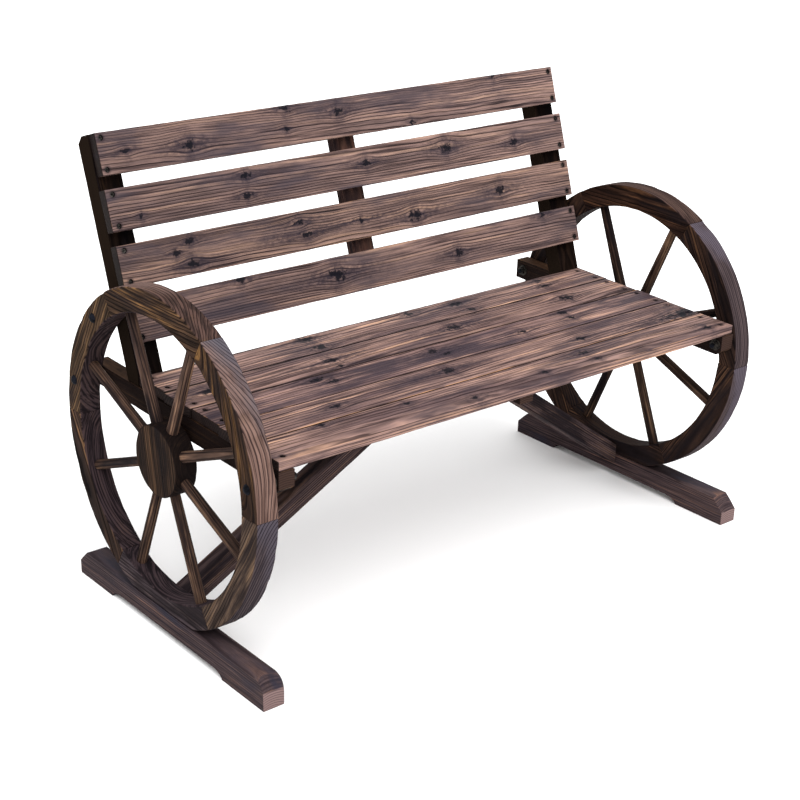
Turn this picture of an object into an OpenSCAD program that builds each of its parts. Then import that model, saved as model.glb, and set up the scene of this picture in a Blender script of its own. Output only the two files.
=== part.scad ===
// Wagon wheel bench: two spoked wheels stand flat on floor skids and carry a slatted seat and a raked back.
// +X runs along the bench, the sitter looks along -Y, +Z is up, and the origin is on the floor.

/* [Overall] */
// Width over the outer faces of the two wheels
bench_w = 1054.1; // [900:0.1:1300]
// Height of the back's top edge
bench_h = 749.3; // [650:0.1:850]
// Height of the seat's front top edge
seat_h = 381; // [350:0.5:420]

/* [Skids] */
// Length of each skid
skid_len = 537; // [500:1:640]
// Distance of the skids' middle behind the origin
skid_shift = -4; // [-10:0.5:10]
// Height of each skid
skid_h = 47.5; // [40:0.5:60]
// Length of the end chamfers
skid_chamfer_run = 24.5; // [10:0.5:40]
// Height of the end chamfers
skid_chamfer_drop = 23.5; // [10:0.5:30]
// Length of the foot pad at the front
front_pad = 110; // [80:1:140]
// Length of the foot pad at the rear
rear_pad = 104; // [80:1:140]
// Height of the hollow between the foot pads
hollow_h = 11.5; // [6:0.5:16]
// Length over which each end of the hollow curves down
hollow_run = 25; // [10:1:40]

/* [Wheels] */
// Outer radius of the wheels
wheel_r = 267.5; // [250:0.5:280]
// Height of the wheel centres
wheel_z = 301; // [285:0.5:315]
// Distance of the wheel centres behind the origin
wheel_y = 4.5; // [-10:0.5:10]
// Thickness of the wheels, and width of the skids below them
rim_t = 37.5; // [30:0.5:50]
// Radial width of the rim
rim_w = 40.5; // [32:0.5:50]
// Width of the joint between two felloes
felloe_gap = 0.4; // [0.2:0.1:1]
// Diameter of the dowel in each felloe joint
dowel_d = 10; // [6:0.5:12]
// Length of the dowel in each felloe joint
dowel_len = 44; // [30:1:46]
// Radius of the hub
hub_r = 58; // [50:0.5:70]
// Angle of the first spoke above the horizontal, at the front
spoke_start = 22.5; // [20:0.5:25]
// Mean diameter of the spokes
spoke_d = 17.5; // [12:0.5:20]
// Depth of the spokes' seats in the hub
hub_seat = 18; // [10:1:20]
// Depth of the spokes' seats in the rim
rim_seat = 20; // [10:1:28]

/* [Seat] */
// Length of the seat slats
seat_len = 970; // [850:0.5:971]
// Distance of the seat and back right of the bench's middle
seat_shift = 2.5; // [-3:0.5:3]
// Distance of the seat's front edge in front of the origin
seat_lead = 250.5; // [245:0.5:262]
// Slope of the seat, rising to the rear, in degrees
seat_tilt = 1.1; // [0:0.1:2]
// Number of seat slats
seat_slats = 5; // [4:1:5]
// Width of each seat slat
seat_slat_w = 74; // [65:0.1:74]
// Gap between seat slats
seat_gap = 1.4; // [0.8:0.1:1.4]
// Thickness of the seat slats
seat_slat_t = 16; // [14:0.5:20]
// Greatest difference in length at a slat's end
stagger = 4; // [0:0.5:8]

/* [Rails and bearer] */
// Distance between the outer faces of the two side rails
rail_span = 970; // [850:0.5:971]
// Thickness of the side rails
rail_w = 28; // [24:0.5:38]
// Height of the side rails
rail_h = 36; // [30:0.5:42]
// Length of the side rails
rail_len = 516; // [480:1:540]
// Distance by which the rails lead the seat's front edge
rail_lead = 2; // [0:0.5:6]
// Length of the chamfer under the rails' front ends
rail_chamfer_run = 10; // [4:0.5:16]
// Height of the chamfer under the rails' front ends
rail_chamfer_rise = 9; // [4:0.5:16]
// Width of the centre bearer under the seat
bearer_w = 28; // [18:0.5:40]
// Height of the centre bearer
bearer_h = 14; // [12:0.5:20]
// Length of the centre bearer
bearer_len = 360; // [330:1:368]
// Distance of the centre bearer's front end behind the seat's front edge
bearer_inset = 5; // [2:0.5:20]

/* [Back] */
// Length of the back slats
back_len = 968; // [840:1:1090]
// Distance of the back's top front edge behind the origin
back_top_y = 228; // [222:0.5:236]
// Rake of the back, in degrees
back_rake = 18.6; // [15:0.1:20]
// Number of back slats
back_slats = 4; // [3:1:4]
// Width of each back slat
back_slat_w = 65.5; // [60:0.5:70]
// Gap between back slats
back_gap = 20.5; // [14:0.5:24]
// Thickness of the back slats
back_slat_t = 18; // [18:0.5:22]
// Distance between the outer faces of the two uprights
upright_span = 966; // [850:0.5:970]
// Width of the uprights
upright_w = 45; // [34:0.5:55]
// Depth of the uprights
upright_t = 33; // [28:0.5:40]
// Depth of the chamfer at the uprights' top rear corner
upright_chamfer_run = 14; // [6:0.5:20]
// Height of the chamfer at the uprights' top rear corner
upright_chamfer_drop = 10; // [6:0.5:20]
// Width of the centre batten behind the back slats
batten_w = 43; // [30:0.5:55]
// Thickness of the centre batten
batten_t = 20; // [16:0.5:28]
// Distance of the centre batten right of the middle
batten_x = -4; // [-20:1:20]
// Distance of the batten's ends from the back's top and bottom edges
batten_inset = 8; // [4:0.5:16]

/* [Braces] */
// Height of the lower edge of a brace where it meets its wheel
brace_foot_z = 29; // [22:0.5:34]
// Slope of the braces, in degrees
brace_rise = 34; // [33:0.1:35]
// Forward sweep of the braces, in degrees
brace_sweep = 8.5; // [4:0.5:12]
// Distance of a brace's front face behind the origin, at the wheel
brace_y = -7; // [-20:1:10]
// Height of a brace's section, square to its slope
brace_h = 31; // [24:0.5:40]
// Depth of a brace's section
brace_t = 37.5; // [18:0.5:40]

/* [Fasteners] */
// Diameter of the rim bolts
bolt_d = 8; // [6:0.5:10]
// Diameter of the rim bolts' heads
bolt_head_d = 16; // [12:0.5:20]
// Height of the rim bolts' heads
bolt_head_h = 5; // [3:0.5:7]
// Length of thread past the nuts
bolt_tail = 3; // [1:0.5:6]
// Width across the corners of the nuts
nut_d = 15; // [12:0.5:18]
// Height of the nuts
nut_h = 6.5; // [5:0.5:8]
// Diameter of the washers
washer_d = 20; // [16:0.5:26]
// Thickness of the washers under the nuts
washer_t = 1.6; // [1:0.1:3]
// Diameter of the screw heads
screw_head_d = 8; // [6:0.5:9]
// Height of the screw heads
screw_head_h = 3; // [2:0.1:4]
// Diameter of the screws
screw_d = 4; // [3:0.1:5]
// Length of the short screws in the slats, batten and bearer
short_screw = 24; // [20:0.5:26]
// Length of the long screws in the skids, uprights and the braces' feet
long_screw = 60; // [50:1:65]
// Length of the screws in the braces' heads
head_screw = 36; // [32:0.5:40]
// Depth of a screw head below the face of a slat
sink = 3.5; // [2:0.5:5]
// Distance of the seat screws from a slat's edges
seat_screw_edge = 14; // [10:0.5:20]
// Distance of the seat screws from the rails' outer faces
seat_screw_end = 18; // [8:0.5:20]
// Distance of the back screws from a slat's edges
back_screw_edge = 8.5; // [7:0.5:14]
// Distance of the back screws from the slats' ends
back_screw_end = 14; // [10:0.5:24]

/* [Hidden] */
fit = 0.1;
over = 5;
$fn = 48;
LEFT = -1;
RIGHT = 1;
arc_steps = 8;

felloes = 6;
spokes = 8;
half_w = bench_w / 2;
wheel_in = half_w - rim_t;
rim_in = wheel_r - rim_w;
rim_mid = wheel_r - rim_w / 2;
skid_front = skid_shift - skid_len / 2;
skid_back = skid_shift + skid_len / 2;
upright_back = back_slat_t + upright_t;
seat_pitch = seat_slat_w + seat_gap;
seat_depth = seat_slats * seat_pitch - seat_gap;
back_pitch = back_slat_w + back_gap;
back_drop = back_slats * back_pitch - back_gap;
spoke_turn = 360 / spokes;
felloe_turn = 360 / felloes;
screw_hole_r = screw_d / 2 + fit;
head_hole_r = screw_head_d / 2 + screw_d / 8;
// Each spoke's diameter at the hub and at the rim, as shares of the mean, from the front upwards
spoke_root_shares = [1.08, 1.12, 1.14, 1.10, 0.92, 0.94, 0.96, 1.0];
spoke_tip_shares = [0.90, 0.88, 0.90, 0.92, 1.0, 1.03, 1.08, 1.06];
// How far each slat falls short at its left and right end, as a share of the stagger
seat_left_shares = [0.2, 0.0, 0.8, 0.3, 1.0];
seat_right_shares = [0.4, 1.0, 0.0, 0.7, 0.2];
back_left_shares = [1.0, 0.2, 0.1, 0.5];
back_right_shares = [0.9, 0.1, 0.4, 0.6];
// Places of the two screws that hold each wheel to its skid, as shares of the wheel's flat
skid_screw_shares = [-0.52, 0.52];
flat_half = sqrt(pow(wheel_r, 2) - pow(wheel_z - skid_h, 2));

SIDES = ["left", "right"];

// Outer and inner face of the rail on one side, as distances from the middle
function rail_out(side) = rail_span / 2 + side * seat_shift;
function rail_in(side) = rail_out(side) - rail_w;

// Outer and inner face of the upright on one side, as distances from the middle
function upright_out(side) = upright_span / 2 + side * seat_shift;
function upright_in(side) = upright_out(side) - upright_w;

// Point on the line through p along the unit vector d that is r away from c, before or beyond its foot
function crossing(p, d, c, r, way) =
    let (w = p - c, b = w * d) p + d * (way * sqrt(b * b - w * w + r * r) - b);

// Centre of the wheels, and the centrelines of the rails and uprights, seen from the side
hub_at = [wheel_y, wheel_z];
rail_depth = seat_slat_t + rail_h / 2;
rail_line = [-seat_lead + rail_depth * sin(seat_tilt), seat_h - rail_depth * cos(seat_tilt)];
rail_way = [cos(seat_tilt), sin(seat_tilt)];
upright_depth = back_slat_t + upright_t / 2;
upright_line = [back_top_y + upright_depth * cos(back_rake), bench_h - upright_depth * sin(back_rake)];
upright_way = [sin(back_rake), cos(back_rake)];
front_bolt = crossing(rail_line, rail_way, hub_at, rim_mid, -1);
rear_bolt = crossing(rail_line, rail_way, hub_at, rim_mid, 1);
top_bolt = crossing(upright_line, upright_way, hub_at, rim_mid, 1);

// Seat frame: origin in the middle of the bench on the seat's front top edge, y to the rear along the slope
module seat_frame() {
    translate([0, -seat_lead, seat_h]) rotate([seat_tilt, 0, 0]) children();
}

// Back frame: origin on the back's top front edge, z up the slope and y behind the front faces
module back_frame() {
    translate([0, back_top_y, bench_h]) rotate([-back_rake, 0, 0]) children();
}

// Wheel frame: x to the front, y up, z along the wheel's axis
module wheel_frame(side) {
    translate([side * (half_w - rim_t / 2), wheel_y, wheel_z]) rotate([90, 0, -90]) children();
}

// Extrudes an outline drawn in y and z between two places on x
module along_x(from, to) {
    translate([min(from, to), 0, 0]) rotate([90, 0, 90]) linear_extrude(abs(to - from)) children();
}

// Straight hole or rod along x at a place seen from the side
module rod_x(at, from, to, r) {
    translate([min(from, to), at[0], at[1]]) rotate([0, 90, 0]) cylinder(h = abs(to - from), r = r);
}

// Screw with its head's top at the origin, pointing down z
module screw(len) {
    head = screw_head_d / 2;
    shank = screw_d / 2;
    slot_w = screw_head_d / 7;
    slot_l = screw_head_d * 0.6;
    difference() {
        rotate_extrude() polygon([
            [0, 0], [head, 0], [head, -screw_head_h / 4], [shank, -screw_head_h],
            [shank, screw_d - len], [0, -len]
        ]);
        for (turn = [0, 90])
            rotate([0, 0, turn]) translate([-slot_l / 2, -slot_w / 2, -screw_head_h / 2])
                cube([slot_l, slot_w, screw_head_h]);
    }
}

// Hole for a screw whose head sits at the origin, open upwards
module screw_hole(len) {
    translate([0, 0, -len - fit]) cylinder(h = len + fit, r = screw_hole_r);
    translate([0, 0, -screw_head_h - fit]) cylinder(h = screw_head_h + sink + over, r = head_hole_r);
}

// Skid

module skid_outline(round_nose) {
    low = skid_h - skid_chamfer_drop;
    nose = round_nose ? [for (i = [0 : arc_steps]) let (a = 90 * i / arc_steps)
        [skid_front + skid_chamfer_run * (1 - cos(a)), low + skid_chamfer_drop * sin(a)]]
        : [[skid_front, low], [skid_front + skid_chamfer_run, skid_h]];
    tail = [[skid_back - skid_chamfer_run, skid_h], [skid_back, low], [skid_back, 0]];
    rear_curve = [for (i = [0 : arc_steps]) let (a = 90 * i / arc_steps)
        [skid_back - rear_pad - hollow_run * (1 - cos(a)), hollow_h * sin(a)]];
    front_curve = [for (i = [arc_steps : -1 : 0]) let (a = 90 * i / arc_steps)
        [skid_front + front_pad + hollow_run * (1 - cos(a)), hollow_h * sin(a)]];
    polygon(concat([[skid_front, 0]], nose, tail, rear_curve, front_curve));
}

module skid(side) {
    color([0.23, 0.17, 0.15]) difference() {
        along_x(side * wheel_in, side * half_w) skid_outline(side == LEFT);
        skid_screw_places(side) mirror([0, 0, 1]) screw_hole(long_screw);
    }
}

// Places of the screws that rise from the skid's hollow into the wheel
module skid_screw_places(side) {
    for (share = skid_screw_shares)
        translate([side * (half_w - rim_t / 2), wheel_y + share * flat_half, hollow_h + sink]) children();
}

// Wheels

module sector(from, to) {
    reach = wheel_r + rim_w;
    mid = (from + to) / 2;
    polygon([[0, 0], for (a = [from, mid, to]) reach * [cos(a), sin(a)]]);
}

module dowel_places(grow) {
    for (k = [0 : felloes - 1])
        rotate([0, 0, k * felloe_turn]) translate([rim_mid, 0, 0]) rotate([90, 0, 0])
            cylinder(h = dowel_len + 2 * grow, r = dowel_d / 2 + grow, center = true);
}

module felloe(side, k) {
    trim = asin(felloe_gap / 2 / rim_mid);
    from = (k - 1) * felloe_turn + trim;
    to = k * felloe_turn - trim;
    color([0.36, 0.26, 0.19]) difference() {
        wheel_frame(side) difference() {
            intersection() {
                cylinder(h = rim_t, r = wheel_r, center = true, $fn = 180);
                translate([0, 0, -rim_t]) linear_extrude(2 * rim_t) sector(from, to);
            }
            cylinder(h = rim_t + 2 * over, r = rim_in, center = true, $fn = 180);
            for (n = [1 : spokes]) if (spoke_angle(n) > from && spoke_angle(n) < to)
                rotate([0, 0, spoke_angle(n)]) spoke_seat_in_rim(n);
            dowel_places(fit);
        }
        translate([-bench_w, wheel_y - wheel_r, skid_h - rim_w]) cube([2 * bench_w, 2 * wheel_r, rim_w]);
        rim_bolt_holes(side);
        skid_screw_places(side) mirror([0, 0, 1]) screw_hole(long_screw);
        brace_foot_screw(side) screw_hole(long_screw);
    }
}

function spoke_angle(n) = spoke_start + (n - 1) * spoke_turn;
function root_r(n) = spoke_d / 2 * spoke_root_shares[n - 1];
function tip_r(n) = spoke_d / 2 * spoke_tip_shares[n - 1];

module spoke_seat_in_rim(n) {
    translate([rim_in - over, 0, 0]) rotate([0, 90, 0]) cylinder(h = rim_seat + over + fit, r = tip_r(n) + fit);
}

module spoke(side, n) {
    root = root_r(n);
    tip = tip_r(n);
    seat_end = rim_in + rim_seat;
    color([0.38, 0.27, 0.19]) wheel_frame(side) rotate([0, 0, spoke_angle(n)]) rotate([0, 90, 0])
        rotate_extrude() polygon([
            [0, hub_r - hub_seat], [root, hub_r - hub_seat], [root, hub_r],
            [tip, rim_in], [tip, seat_end], [0, seat_end]
        ]);
}

module hub(side) {
    color([0.36, 0.27, 0.20]) wheel_frame(side) difference() {
        cylinder(h = rim_t, r = hub_r, center = true, $fn = 96);
        for (n = [1 : spokes])
            rotate([0, 0, spoke_angle(n)]) translate([hub_r - hub_seat - fit, 0, 0]) rotate([0, 90, 0])
                cylinder(h = hub_seat + over, r = root_r(n) + fit);
    }
}

module felloe_dowels() {
    color([0.62, 0.48, 0.32]) for (side = [LEFT, RIGHT]) wheel_frame(side) dowel_places(0);
}

// Rails and bearer

module rail(side) {
    start = -rail_lead;
    end = rail_len - rail_lead;
    top = -seat_slat_t;
    base = top - rail_h;
    color([0.26, 0.20, 0.17]) difference() {
        seat_frame() along_x(side * rail_in(side), side * rail_out(side)) polygon([
            [start + rail_chamfer_run, base], [start, base + rail_chamfer_rise],
            [start, top], [end, top], [end, base]
        ]);
        seat_screw_places(side) screw_hole(short_screw);
        upright_foot_screw(side) screw_hole(long_screw);
        rim_bolt_holes(side);
    }
}

module centre_bearer() {
    color([0.24, 0.18, 0.15]) difference() {
        seat_frame() translate([-bearer_w / 2, bearer_inset, -seat_slat_t - bearer_h])
            cube([bearer_w, bearer_len, bearer_h]);
        bearer_screw_places() screw_hole(short_screw);
    }
}

// Seat

module seat_slat(k) {
    left = seat_shift - seat_len / 2 + stagger * seat_left_shares[k - 1];
    right = seat_shift + seat_len / 2 - stagger * seat_right_shares[k - 1];
    color([0.42, 0.30, 0.26]) difference() {
        seat_frame() translate([left, (k - 1) * seat_pitch, -seat_slat_t])
            cube([right - left, seat_slat_w, seat_slat_t]);
        for (side = [LEFT, RIGHT]) seat_screw_places(side, k, k) screw_hole(short_screw);
        bearer_screw_places(k, k) screw_hole(short_screw);
        for (side = [LEFT, RIGHT]) brace_head_screw(side) screw_hole(head_screw);
    }
}

// Places of the seat screws over one rail, for the slats from first to last
module seat_screw_places(side, first = 1, last = seat_slats) {
    seat_frame() for (k = [first : last], edge = [seat_screw_edge, seat_slat_w - seat_screw_edge])
        translate([side * (rail_out(side) - seat_screw_end), (k - 1) * seat_pitch + edge, -sink]) children();
}

// Places of the screws that rise through the bearer, one for each slat
module bearer_screw_places(first = 1, last = seat_slats) {
    reach = seat_slat_t + bearer_h - sink;
    seat_frame() for (k = [first : last])
        translate([0, (k - 1) * seat_pitch + seat_slat_w / 2, -reach]) mirror([0, 0, 1]) children();
}

// Back

module back_slat(k) {
    left = seat_shift - back_len / 2 + stagger * back_left_shares[k - 1];
    right = seat_shift + back_len / 2 - stagger * back_right_shares[k - 1];
    top = -(k - 1) * back_pitch;
    color([0.43, 0.32, 0.28]) difference() {
        back_frame() translate([left, 0, top - back_slat_w]) cube([right - left, back_slat_t, back_slat_w]);
        for (side = [LEFT, RIGHT]) back_screw_places(side, k, k) screw_hole(short_screw);
        batten_screw_places(k, k) screw_hole(short_screw);
    }
}

module upright(side) {
    color([0.30, 0.22, 0.17]) difference() {
        back_frame() along_x(side * upright_in(side), side * upright_out(side)) polygon([
            [back_slat_t, -bench_h], [back_slat_t, 0], [upright_back - upright_chamfer_run, 0],
            [upright_back, -upright_chamfer_drop], [upright_back, -bench_h]
        ]);
        seat_frame() translate([-bench_w, -bench_h, -seat_slat_t - 2 * bench_h])
            cube([2 * bench_w, 2 * bench_h, 2 * bench_h]);
        seat_frame() translate([-bench_w, seat_depth + fit - bench_h, -bench_h])
            cube([2 * bench_w, bench_h, bench_h + fit]);
        back_screw_places(side) screw_hole(short_screw);
        upright_foot_screw(side) screw_hole(long_screw);
        rim_bolt_holes(side);
    }
}

module centre_batten() {
    color([0.25, 0.18, 0.15]) difference() {
        back_frame() translate([batten_x - batten_w / 2, back_slat_t, batten_inset - back_drop])
            cube([batten_w, batten_t, back_drop - 2 * batten_inset]);
        batten_screw_places() screw_hole(short_screw);
    }
}

// Places of the back screws over one upright, for the slats from first to last
module back_screw_places(side, first = 1, last = back_slats) {
    x = seat_shift + side * (back_len / 2 - back_screw_end);
    back_frame() for (k = [first : last], edge = [back_screw_edge, back_slat_w - back_screw_edge])
        translate([x, sink, -(k - 1) * back_pitch - edge]) rotate([90, 0, 0]) children();
}

// Places of the screws that pass forward through the batten, one for each slat
module batten_screw_places(first = 1, last = back_slats) {
    reach = back_slat_t + batten_t - sink;
    back_frame() for (k = [first : last])
        translate([batten_x, reach, -(k - 1) * back_pitch - back_slat_w / 2]) rotate([-90, 0, 0]) children();
}

// Place of the screw that rises through the rail into the upright's foot
module upright_foot_screw(side) {
    foot = back_top_y + seat_lead - (bench_h - seat_h) * tan(back_rake) + upright_depth / cos(back_rake);
    x = max(upright_in(side), rail_in(side)) / 2 + min(upright_out(side), rail_out(side)) / 2;
    seat_frame() translate([side * x, foot - seat_slat_t * tan(back_rake), sink - seat_slat_t - rail_h])
        mirror([0, 0, 1]) children();
}

// Braces

// Brace frame: origin at the lower front edge on the wheel's inner face, x towards the middle, z square to the slope
module brace_frame(side) {
    mirror([side == LEFT ? 1 : 0, 0, 0]) translate([wheel_in, brace_y, brace_foot_z])
        rotate([0, 0, 180 + brace_sweep]) rotate([0, -brace_rise, 0]) mirror([0, 1, 0]) children();
}

module brace(side) {
    reach = half_w / cos(brace_rise);
    span = 2 * bench_w;
    color([0.24, 0.18, 0.16]) difference() {
        brace_frame(side) translate([-brace_h - brace_t, 0, 0]) cube([reach + 2 * brace_h, brace_t, brace_h]);
        translate([side * (wheel_in + bench_w), 0, 0]) cube([span, span, span], center = true);
        translate([side * (bearer_w / 2 - bench_w), 0, 0]) cube([span, span, span], center = true);
        seat_frame() translate([-bench_w, -bench_w, -seat_slat_t]) cube([span, span, bench_h]);
        brace_foot_screw(side) screw_hole(long_screw);
        brace_head_screw(side) screw_hole(head_screw);
    }
}

// Place of the level screw through a brace's foot into its wheel
module brace_foot_screw(side) {
    run = long_screw - rim_t * 0.6;
    z = brace_foot_z + run * tan(brace_rise) + screw_head_d / 2;
    translate([side * (wheel_in - run), brace_y + brace_t / 2 - run * tan(brace_sweep), z])
        rotate([0, side * -90, 0]) children();
}

// Place of the screw through a brace's head into a seat slat, square to the brace
module brace_head_screw(side) {
    u = (wheel_in - bearer_w / 2) / cos(brace_rise) / cos(brace_sweep) - brace_h * 1.5;
    brace_frame(side) translate([u, brace_t / 2, sink]) mirror([0, 0, 1]) children();
}

// Fasteners

module rim_bolt_holes(side) {
    for (at = [front_bolt, rear_bolt, top_bolt])
        rod_x(at, side * (half_w + over), side * (upright_in(side) - over), bolt_d / 2 + fit);
}

// Calls its children for each rim bolt with its place and the inner and outer face of what it holds
module rim_bolt_rows() {
    for (side = [LEFT, RIGHT]) {
        rim_bolt_set(side, front_bolt, rail_in(side), rail_out(side)) children();
        rim_bolt_set(side, rear_bolt, rail_in(side), rail_out(side)) children();
        rim_bolt_set(side, top_bolt, upright_in(side), upright_out(side)) children();
    }
}

module rim_bolt_set(side, at, inner, outer) {
    $inner = inner;
    $outer = outer;
    translate([0, at[0], at[1]]) mirror([side == LEFT ? 1 : 0, 0, 0]) children();
}

module rim_bolts() {
    sphere_r = (pow(bolt_head_d / 2, 2) + pow(bolt_head_h, 2)) / (2 * bolt_head_h);
    color([0.16, 0.18, 0.21]) rim_bolt_rows() {
        tail = $inner - washer_t - nut_h - bolt_tail;
        translate([half_w, 0, 0]) rotate([0, 90, 0]) intersection() {
            cylinder(h = bolt_head_h, r = bolt_head_d / 2);
            translate([0, 0, bolt_head_h - sphere_r]) sphere(r = sphere_r);
        }
        translate([tail, 0, 0]) rotate([0, 90, 0]) cylinder(h = half_w - tail, r = bolt_d / 2);
    }
}

module rim_nuts() {
    color([0.45, 0.46, 0.48]) rim_bolt_rows()
        translate([$inner - washer_t - nut_h, 0, 0]) rotate([0, 90, 0]) difference() {
            cylinder(h = nut_h, r = nut_d / 2, $fn = 6);
            translate([0, 0, -over]) cylinder(h = nut_h + 2 * over, r = bolt_d / 2 + fit);
        }
}

module washer(t) {
    rotate([0, 90, 0]) difference() {
        cylinder(h = t, r = washer_d / 2);
        translate([0, 0, -over]) cylinder(h = t + 2 * over, r = bolt_d / 2 + fit);
    }
}

module rim_washers() {
    color([0.40, 0.41, 0.43]) rim_bolt_rows() {
        translate([$inner - washer_t, 0, 0]) washer(washer_t);
        translate([$outer, 0, 0]) washer(wheel_in - $outer);
    }
}

module seat_screws() {
    color([0.20, 0.20, 0.21]) for (side = [LEFT, RIGHT]) seat_screw_places(side) screw(short_screw);
}

module back_screws() {
    color([0.20, 0.20, 0.21]) for (side = [LEFT, RIGHT]) back_screw_places(side) screw(short_screw);
}

module frame_screws() {
    color([0.24, 0.24, 0.25]) {
        bearer_screw_places() screw(short_screw);
        batten_screw_places() screw(short_screw);
    }
}

module long_screws() {
    color([0.24, 0.24, 0.25]) for (side = [LEFT, RIGHT]) {
        skid_screw_places(side) mirror([0, 0, 1]) screw(long_screw);
        upright_foot_screw(side) screw(long_screw);
        brace_foot_screw(side) screw(long_screw);
        brace_head_screw(side) screw(head_screw);
    }
}

// Parts

for (i = [0, 1]) {
    side = i == 0 ? LEFT : RIGHT;
    name = SIDES[i];
    skid(side);
    for (k = [1 : felloes]) felloe(side, k);
    for (n = [1 : spokes]) spoke(side, n);
    hub(side);
    rail(side);
    upright(side);
    brace(side);
}
for (k = [1 : seat_slats]) seat_slat(k);
for (k = [1 : back_slats]) back_slat(k);
centre_bearer();
centre_batten();
felloe_dowels();
seat_screws();
back_screws();
frame_screws();
long_screws();
rim_bolts();
rim_nuts();
rim_washers();
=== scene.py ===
import math
import random
from types import SimpleNamespace

import bmesh
import bpy
from mathutils import Matrix, Vector, noise


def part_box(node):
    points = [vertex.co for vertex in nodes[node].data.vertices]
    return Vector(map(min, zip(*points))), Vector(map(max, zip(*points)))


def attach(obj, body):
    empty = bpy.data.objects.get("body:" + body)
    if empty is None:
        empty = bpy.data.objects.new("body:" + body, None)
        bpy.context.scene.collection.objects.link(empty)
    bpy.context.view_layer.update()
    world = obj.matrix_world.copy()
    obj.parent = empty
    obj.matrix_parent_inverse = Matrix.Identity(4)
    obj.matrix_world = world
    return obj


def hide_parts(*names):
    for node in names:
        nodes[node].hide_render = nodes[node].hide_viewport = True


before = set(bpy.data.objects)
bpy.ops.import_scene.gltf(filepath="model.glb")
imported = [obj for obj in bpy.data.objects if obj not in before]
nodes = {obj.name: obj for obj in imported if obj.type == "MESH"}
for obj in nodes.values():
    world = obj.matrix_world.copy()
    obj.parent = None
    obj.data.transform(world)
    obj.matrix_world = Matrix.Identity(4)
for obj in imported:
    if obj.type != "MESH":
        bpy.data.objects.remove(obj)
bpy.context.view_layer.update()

# The bench's timber, metal, floor, light and camera. Blender works in metres, and sizes here are in mm times MM.
MM = 0.001
SIDES = ("left", "right")
SEED = 4127

FELLOES = 6
SPOKES = 8
SEAT_SLATS = 5
BACK_SLATS = 4
RIM_WIDTH = 40.5

# Directions of the raked and sloped pieces, in degrees
SEAT_TILT = 1.1
BACK_RAKE = 18.6
BRACE_RISE = 34
BRACE_SWEEP = 8.5
HUB_LEAN = 7


# ---------------------------------------------------------------- frames of the pieces

def axes(u, w):
    """Rotation whose x runs along the grain and whose z is the face's normal."""
    u = Vector(u).normalized()
    w = Vector(w)
    w = (w - u * w.dot(u)).normalized()
    v = w.cross(u)
    return Matrix((u, v, w)).transposed()


def turn_yz(angle):
    """The directions (0, cos, sin) and (0, -sin, cos) of an angle in degrees."""
    a = math.radians(angle)
    return Vector((0, math.cos(a), math.sin(a))), Vector((0, -math.sin(a), math.cos(a)))


seat_back, seat_up = turn_yz(SEAT_TILT)
rake_in, rake_up = turn_yz(-BACK_RAKE)
SEAT_AXES = axes((1, 0, 0), seat_up)
BACK_AXES = axes((1, 0, 0), -rake_in)
RAIL_AXES = axes(seat_back, seat_up)
UPRIGHT_AXES = axes(rake_up, -rake_in)
SKID_AXES = axes((0, 1, 0), (0, 0, 1))


def brace_axes(side):
    """Directions along a brace, up from its foot, and square to it."""
    rise, sweep = math.radians(BRACE_RISE), math.radians(180 + BRACE_SWEEP)
    flip = 1 if side == "right" else -1
    along = Vector((flip * math.cos(sweep) * math.cos(rise), math.sin(sweep) * math.cos(rise), math.sin(rise)))
    up = Vector((-flip * math.cos(sweep) * math.sin(rise), -math.sin(sweep) * math.sin(rise), math.cos(rise)))
    return axes(along, up)


def placed(node, rotation):
    """Matrix of the node's own box in the given directions, and the box's half sizes."""
    back = rotation.transposed()
    points = [back @ v.co for v in nodes[node].data.vertices]
    lo = Vector([min(p[k] for p in points) for k in range(3)])
    hi = Vector([max(p[k] for p in points) for k in range(3)])
    matrix = rotation.to_4x4()
    matrix.translation = rotation @ ((lo + hi) / 2)
    return matrix, (hi - lo) / 2


# ---------------------------------------------------------------- meshes

# Planed timber, in mm and degrees
SAME_POINT = 0.02
SAME_FACE_ANGLE = 0.6
SHORT_EDGE = 3.5
ARRIS_ANGLE = 24
BEVEL_ANGLE = 20
CUT_SLACK = 0.01
WORN_BAND = 4
WEAR_DEPTH = 0.9
WIDE_DENTS, WIDE_DENT_DEPTH = 26, 0.8
SMALL_DENTS, SMALL_DENT_DEPTH = 90, 0.9
BOARD_CHIPS = dict(scale=14, level=0.72, size=6)
ROUNDING = dict(segments=3, profile=0.6, affect="EDGES", clamp_overlap=True, loop_slide=True)

# Felloes, in mm
RIM_STATIONS = 34
RIM_CORNER = 2.2
CORNER_STEPS = 3
JOINT_LIP = 0.9
JOINT_INSET = 0.7
RIM_WEAR_DEPTH = 0.9
RIM_DENTS = 24
RIM_CHIPS = dict(scale=40, level=0.62, size=7)
# The rim's outline swells in two waves: how fast each runs round it, its noise's scale and its salt
RIM_WAVES = ((1.3, 2.2, 3), (6, 3.0, 5))
RIM_WAVE_DEPTH = 0.8
# The rim can be planed flat where the sine of the angle below its centre is over this
FLAT_FROM = 0.2

# Spokes. A spoke's widths are read within END_REACH of its ends, in mm.
SPOKE_STATIONS, SPOKE_EDGES = 40, 24
END_REACH = 3
SPOKE_WAVES, SPOKE_WAVE_SHARE = 30, 0.035
SPOKE_PITS, SPOKE_PIT_SHARE = 110, 0.03
SPOKE_NOISE_RADIUS = 0.02

# Hub: its outline as (share of the radius, share of the half thickness)
HUB_EDGES = 72
HUB_PROFILE = [(0.93, -1), (0.985, -1), (1, -0.93), (1, -0.5), (1, 0), (1, 0.5), (1, 0.93), (0.985, 1), (0.93, 1)]
HUB_NOISE_RADIUS, HUB_NOISE_DEPTH = 0.06, 0.004
HUB_WAVES = 22
HUB_CHIPS = dict(scale=45, level=0.62, size=5)
HUB_MIDDLE_CHIPS = 0.3


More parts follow.
